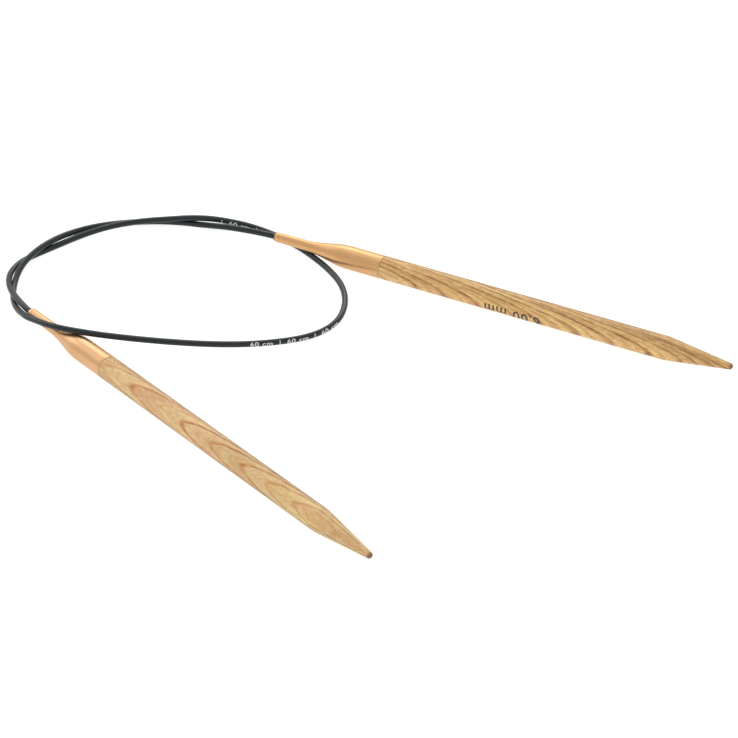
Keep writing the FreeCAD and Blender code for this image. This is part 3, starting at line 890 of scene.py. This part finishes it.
# ------------------------------------------------------------------- finishes
pale_zones = [
    (-30, (220, 188, 138)), (0, (226, 196, 146)), (20, (228, 198, 148)),
    (31, (212, 176, 126)), (33, (232, 206, 152)), (41, (234, 206, 154)),
    (43, (222, 176, 132)), (50, (222, 182, 136)), (53.5, (228, 192, 142)),
    (55, (232, 208, 156)), (61, (230, 202, 148)), (63, (228, 192, 146)),
    (71, (226, 188, 140)), (74, (216, 188, 138)), (82, (212, 182, 132)),
    (85, (228, 206, 152)), (91.5, (222, 194, 140)), (93.5, (226, 198, 138)),
    (101, (222, 196, 136)), (103, (228, 194, 142)), (107, (222, 190, 130)),
    (112, (220, 184, 122)), (130, (218, 182, 124)),
]
pale_lines = rows_from([
    (-24, 1.8, 1.4, .6), (-15, 1.8, 1.4, .7), (-5.5, 1.8, 1.4, .6),
    (3.5, 1.8, 1.4, .7), (12.5, 1.8, 1.4, .7), (21.4, 2.0, 1.5, .75),
    (27.0, 1.2, 1.2, .25), (32.6, 1.8, 1.4, .62), (38.0, 1.0, 1.0, .14),
    (43.2, 1.9, 1.9, .78), (49.0, 1.0, 1.2, .20), (53.4, 1.4, 1.2, .26),
    (62.6, 1.8, 1.5, 1.0), (68.0, 1.2, 1.2, .24), (73.5, 2.1, 1.6, .86),
    (78.5, 1.0, 1.0, .18), (83.8, 2.1, 1.6, .92), (88.3, 0.9, 0.9, .14),
    (92.5, 1.7, 1.4, .64), (101.7, 1.7, 1.4, .66), (106.0, 1.0, 1.0, .28),
    (110.5, 1.2, 1.3, .46), (117.0, 1.4, 1.4, .4),
])
warm_zones = [
    (28, (236, 201, 140)), (38, (238, 207, 146)), (41.5, (224, 180, 118)),
    (50, (226, 178, 116)), (59, (224, 178, 112)), (62, (232, 193, 126)),
    (73, (226, 184, 118)), (78, (232, 193, 126)), (84, (238, 207, 136)),
    (94, (232, 193, 128)), (97, (224, 182, 122)), (104, (228, 187, 122)),
    (106, (234, 197, 130)), (115, (226, 189, 124)), (124, (217, 174, 112)),
    (135, (224, 180, 114)), (150, (228, 187, 116)), (185, (228, 189, 120)),
]
warm_lines = rows_from([
    (33.0, 1.5, 1.1, .42), (37.3, .8, .8, .22), (41.8, 1.9, 1.2, .90),
    (45.6, .8, .8, .36), (49.7, 2.0, 1.4, .88), (54.6, .8, .8, .34),
    (59.4, 1.9, 1.2, 1.0), (63.9, .9, .8, .42), (68.6, 1.6, 1.3, .60),
    (72.6, .9, .8, .44), (76.4, 2.0, 1.3, 1.0), (81.4, .9, .9, .42),
    (86.3, 2.1, 1.4, .92), (90.9, .8, .8, .40), (95.7, 2.1, 1.4, .92),
    (100.2, .9, .8, .44), (104.9, 1.9, 1.2, .98), (109.0, .8, .8, .48),
    (114.4, 1.6, 1.2, .74), (117.3, .7, .7, .46), (120.4, 1.6, 1.1, .84),
    (123.6, .7, .7, .50), (127.0, 1.8, 1.2, 1.0), (129.8, .7, .7, .46),
    (132.6, 1.4, 1.2, .95), (135.4, .7, .7, .5), (138.0, 1.4, 1.1, .85),
    (140.8, .7, .7, .5), (143.5, 1.6, 1.2, .9), (146.6, .8, .8, .5),
    (150, 1.6, 1.2, .85), (153.6, .9, .9, .5), (157, 1.8, 1.3, .85),
    (161, .9, .9, .5), (165, 1.8, 1.3, .8), (174, 1.8, 1.3, .8),
])

WOOD_PALE = wood(
    "turned_wood_pale", left, lean_deg=46.9, to_tip=False, curve=(27.0, 4.0),
    zones=pale_zones, lines=pale_lines,
    line_colours=((190, 120, 50), (132, 80, 30), (196, 146, 92),
                  (242, 222, 172)),
    tint=(224, 186, 138), wobble=(3.4, 1.7), fleck=0.26, fineness=0.42,
    streaks=0.30, mottling=(0.36, (210, 158, 112), (236, 218, 152)),
    outline=0.95, one_side=0.80, far=0.55, gain=(1.045, 1.012, 0.99),
    widen=((1.8, 1.0), (3.6, 1.0)), end_colour=(104, 60, 38))
WOOD_WARM = wood(
    "turned_wood_warm", right, lean_deg=127.0, to_tip=True, curve=(4.0, 10.0),
    zones=warm_zones, lines=warm_lines,
    line_colours=((144, 90, 42), (126, 82, 40), (168, 120, 66),
                  (236, 206, 146)),
    tint=(214, 172, 116), wobble=(3.4, 1.9), fleck=0.34, fineness=0.55,
    streaks=0.70, mottling=(0.44, (190, 142, 90), (232, 202, 136)),
    outline=0.90, one_side=1.0, far=1.0, gain=(1.15, 1.135, 1.115),
    widen=((1.3, 0.6),), end_colour=(104, 66, 42))
FERRULE_LEFT = metal("gold_anodised_left", (226, 180, 134), (221, 173, 126),
                     0.35, left)
FERRULE_RIGHT = metal("gold_anodised_right", (225, 178, 126), (220, 171, 119),
                      0.35, right)
BRASS = metal("crimp_brass", (206, 170, 108), (190, 150, 92), 0.35)
CABLE_SKIN = plastic("cable_nylon", (9, 12, 14), (16, 19, 21))
WHITE_INK = print_ink("print_white", ((226, 228, 226), (196, 200, 200)), 0.6)
DARK_INK = print_ink("print_dark", ((66, 56, 42), (50, 42, 30)), 0.55)

# --------------------------------------------------------------------- pieces
for hand, skin, shell in (("left", WOOD_PALE, FERRULE_LEFT),
                          ("right", WOOD_WARM, FERRULE_RIGHT)):
    needle = NEEDLES[hand]
    body = "needle_" + hand
    tip = lathe("turned_tip_" + hand, needle, wood_outline(), 112, [skin], 35)
    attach(tip, body)
    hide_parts("wooden_tip_" + hand)
    tube = lathe("ferrule_shell_" + hand, needle, ferrule_outline(), 112,
                 [shell], 35)
    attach(tube, body)
    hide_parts("ferrule_" + hand)
    crimp = frame["nodes"]["cable_crimp_" + hand]
    crimp.data.materials.clear()
    crimp.data.materials.append(BRASS)

# the size mark, printed round the right tip. It's read from behind, so its
# baseline is uppermost here
axis = right["axis"]
to_eye = np.array(CAMERA_AT) / MM - station(right, 68.0)
to_eye -= (to_eye @ axis) * axis
to_eye /= np.linalg.norm(to_eye)
down = np.cross(axis, to_eye)
SIZE_MARK_START, SIZE_MARK_LENGTH, SIZE_MARK_TURN = 76.0, 15.2, 33.0
letters = glyphs("6.00 mm", 2.9, spacing=1.12, weight=0.012)
stretch = SIZE_MARK_LENGTH / text_width(letters)
mark = bmesh.new()
for points, faces in letters:
    made = []
    for x, y, z in points:
        a = math.radians(SIZE_MARK_TURN) + y / SHANK_R
        r = SHANK_R + (0.012 if z > 0 else -0.02)
        p = station(right, SIZE_MARK_START - x * stretch) + r * (
            math.cos(a) * to_eye + math.sin(a) * down)
        made.append(mark.verts.new(Vector(p * MM)))
    for f in faces:
        mark.faces.new([made[k] for k in f])
bmesh.ops.recalc_face_normals(mark, faces=mark.faces)
mesh = bpy.data.meshes.new("size_mark")
mark.to_mesh(mesh)
mark.free()
size_mark = add_object("size_mark", mesh, [DARK_INK])
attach(size_mark, "needle_right")

# the length mark, repeated in white along the cable. Each letter follows
# the cable's curve and is built into the piece of cable it's printed on
marks = [[] for _ in range(len(HINGES) + 1)]
for start, end, text, lowered in (
        (167.6, 143.5, "60 cm  |  60 cm  |  60 cm", (20, 42)),
        (82.5, 92.8, "|  60 cm  |", (44, 44))):
    letters = glyphs(text, 1.12, spacing=1.1, weight=0.015)
    way = 1 if end > start else -1
    stretch = abs(end - start) / text_width(letters)
    for points, faces in letters:
        middle = start + way * stretch * (
            points[:, 0].max() + points[:, 0].min()) / 2
        number = int(np.searchsorted(cuts, middle))
        made = []
        for x, y, z in points:
            p, d, n = frame_at(start + way * stretch * x)
            out = np.array(CAMERA_AT) / MM - p
            out -= (out @ d) * d
            out /= np.linalg.norm(out)
            up = np.cross(out, d * way)
            a = (y - 0.5) / CABLE_R - math.radians(np.interp(
                x * stretch, (0, abs(end - start)), lowered))
            r = CABLE_R + (0.010 if z > 0 else -0.02)
            made.append(p + r * (math.cos(a) * out + math.sin(a) * up))
        marks[number].append((made, faces))

for number in range(1, len(HINGES) + 1):
    piece = cable_piece(number, [CABLE_SKIN, WHITE_INK], marks[number])
    x = hinge_x[number - 1]
    reach = min(x - cuts[number - 1] - 0.6, x)
    last = min(cuts[number] - x - 0.6, LENGTH - x)
    tuple(cable_place(x - reach) * MM)
    tuple(cable_place(x + last) * MM)
    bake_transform(piece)
    nodes = ["cable_segment_%02d" % number]
    if number == len(HINGES):
        nodes.append("cable_segment_%02d" % (number + 1))
    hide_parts(*nodes)

# ---------------------------------------------------------------- the studio
table = bpy.data.meshes.new("table")
bm = bmesh.new()
for x, y in ((-3, -3), (3, -3), (3, 3), (-3, 3)):
    bm.verts.new((x, y, -0.00003))
bm.faces.new(bm.verts)
bm.to_mesh(table)
bm.free()
material = bpy.data.materials.new("white_table")
material.use_nodes = True
tree = material.node_tree
tree.nodes.clear()
g = Graph(tree)
out = tree.nodes.new("ShaderNodeOutputMaterial")
add = tree.nodes.new("ShaderNodeAddShader")
diffuse = tree.nodes.new("ShaderNodeBsdfDiffuse")
diffuse.inputs["Color"].default_value = (0.40, 0.40, 0.40, 1)
glow = tree.nodes.new("ShaderNodeEmission")
glow.inputs["Color"].default_value = (1, 1, 1, 1)
# the paper lights the object less than it shines into the lens
path = tree.nodes.new("ShaderNodeLightPath")
g.link(g.math("MULTIPLY_ADD", path.outputs["Is Camera Ray"], 0.14, 0.70),
       glow.inputs["Strength"])
tree.links.new(diffuse.outputs[0], add.inputs[0])
tree.links.new(glow.outputs[0], add.inputs[1])
tree.links.new(add.outputs[0], out.inputs[0])
table = add_object("table", table, [material])

# when the needle is held with a part of it lower than it lies at rest, the
# table sinks and stays clear below the lowest point
lows = [(BODIES[-1], cable_place(hinge_x[-1]))]
for number in range(1, len(HINGES)):
    a, b = hinge_x[number - 1], hinge_x[number]
    lows += [(BODIES[number], cable_place(x)) for x in (a, (a + b) / 2)]
for s, lowered in ((0.0, 0.0), (22.0, 2.1), (108.5, 2.1), (125.6, 0.0)):
    place = station(right, s) - np.array([0.0, 0.0, lowered])
    lows.append((BODIES[-1], place))
sinking = table.driver_add("location", 2).driver
names = "abcdefghijklmnopqrstuvwxyzABCDEFGH"[:len(lows)]
for letter, (body, place) in zip(names, lows):
    mark = bpy.data.objects.new("low_point_" + str(names.index(letter)), None)
    mark.empty_display_size = 0.002
    mark.location = [float(v) * MM for v in place]
    COLLECTION.objects.link(mark)
    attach(mark, body)
    height = sinking.variables.new()
    height.name = letter
    height.type = "TRANSFORMS"
    height.targets[0].id = mark
    height.targets[0].transform_type = "LOC_Z"
    height.targets[0].transform_space = "WORLD_SPACE"
sinking.expression = "min(0,1.2*min(" + ",".join(names) + ")-.0009)"
bpy.context.view_layer.update()
assert sinking.is_valid and abs(table.location.z) < 1e-6, table.location.z

world = bpy.data.worlds.new("studio")
world.use_nodes = True
SCENE.world = world
tree = world.node_tree
tree.nodes.clear()
g = Graph(tree)
out = tree.nodes.new("ShaderNodeOutputWorld")
sky = tree.nodes.new("ShaderNodeBackground")
where = tree.nodes.new("ShaderNodeTexCoord")
parts = tree.nodes.new("ShaderNodeSeparateXYZ")
tree.links.new(where.outputs["Generated"], parts.inputs[0])
# elevation in a vertical plane through the camera: 0 at the back horizon,
# 1 overhead, 2 at the horizon behind the camera
turn = g.math("ARCTAN2", parts.outputs[2], parts.outputs[1])
turn = g.math("DIVIDE", turn, math.pi)
level = g.ramp(turn, [
    (0.0, 0.62), (0.06, 0.68), (0.12, 0.98), (0.20, 1.28), (0.27, 1.12),
    (0.36, 0.86), (0.50, 0.76), (0.60, 0.74), (0.75, 0.74), (0.90, 0.82),
    (1.0, 0.92),
])
g.link(g.mix(1.0, level, (1.0, 0.995, 0.985), "MULTIPLY"), sky.inputs[0])
sky.inputs[1].default_value = 1.0
tree.links.new(sky.outputs[0], out.inputs[0])


def area_light(name, place, target, width, height, power, colour):
    light = bpy.data.lights.new(name, "AREA")
    light.shape = "RECTANGLE"
    light.size, light.size_y = width, height
    light.energy = power
    light.color = colour
    o = bpy.data.objects.new(name, light)
    o.location = place
    o.rotation_mode = "QUATERNION"
    o.rotation_quaternion = (Vector(target) - Vector(place)).to_track_quat("-Z", "Y")
    COLLECTION.objects.link(o)
    return o


area_light("back_softbox", (0.10, 1.10, 0.86), (0, 0, 0), 1.2, 0.54, 3.3,
           (1.0, 0.985, 0.96))
area_light("top_softbox", (0.0, 0.18, 1.25), (0, 0, 0), 0.7, 0.5, 0.7,
           (1.0, 0.985, 0.96))
area_light("side_softbox", (-0.95, 0.62, 0.62), (0, 0, 0), 0.5, 0.6, 1.1,
           (0.86, 0.95, 1.0))

camera = bpy.data.objects.new("camera", bpy.data.cameras.new("camera"))
COLLECTION.objects.link(camera)
camera.data.sensor_width = 36.0
camera.data.lens = 36.0 * 2760.0 / 738.0
camera.data.clip_start, camera.data.clip_end = 0.05, 20.0
camera.location = CAMERA_AT
camera.rotation_mode = "QUATERNION"
camera.rotation_quaternion = (CAMERA_TO - CAMERA_AT).to_track_quat("-Z", "Y")
SCENE.camera = camera
SCENE.view_settings.view_transform = "Standard"
SCENE.view_settings.look = "None"
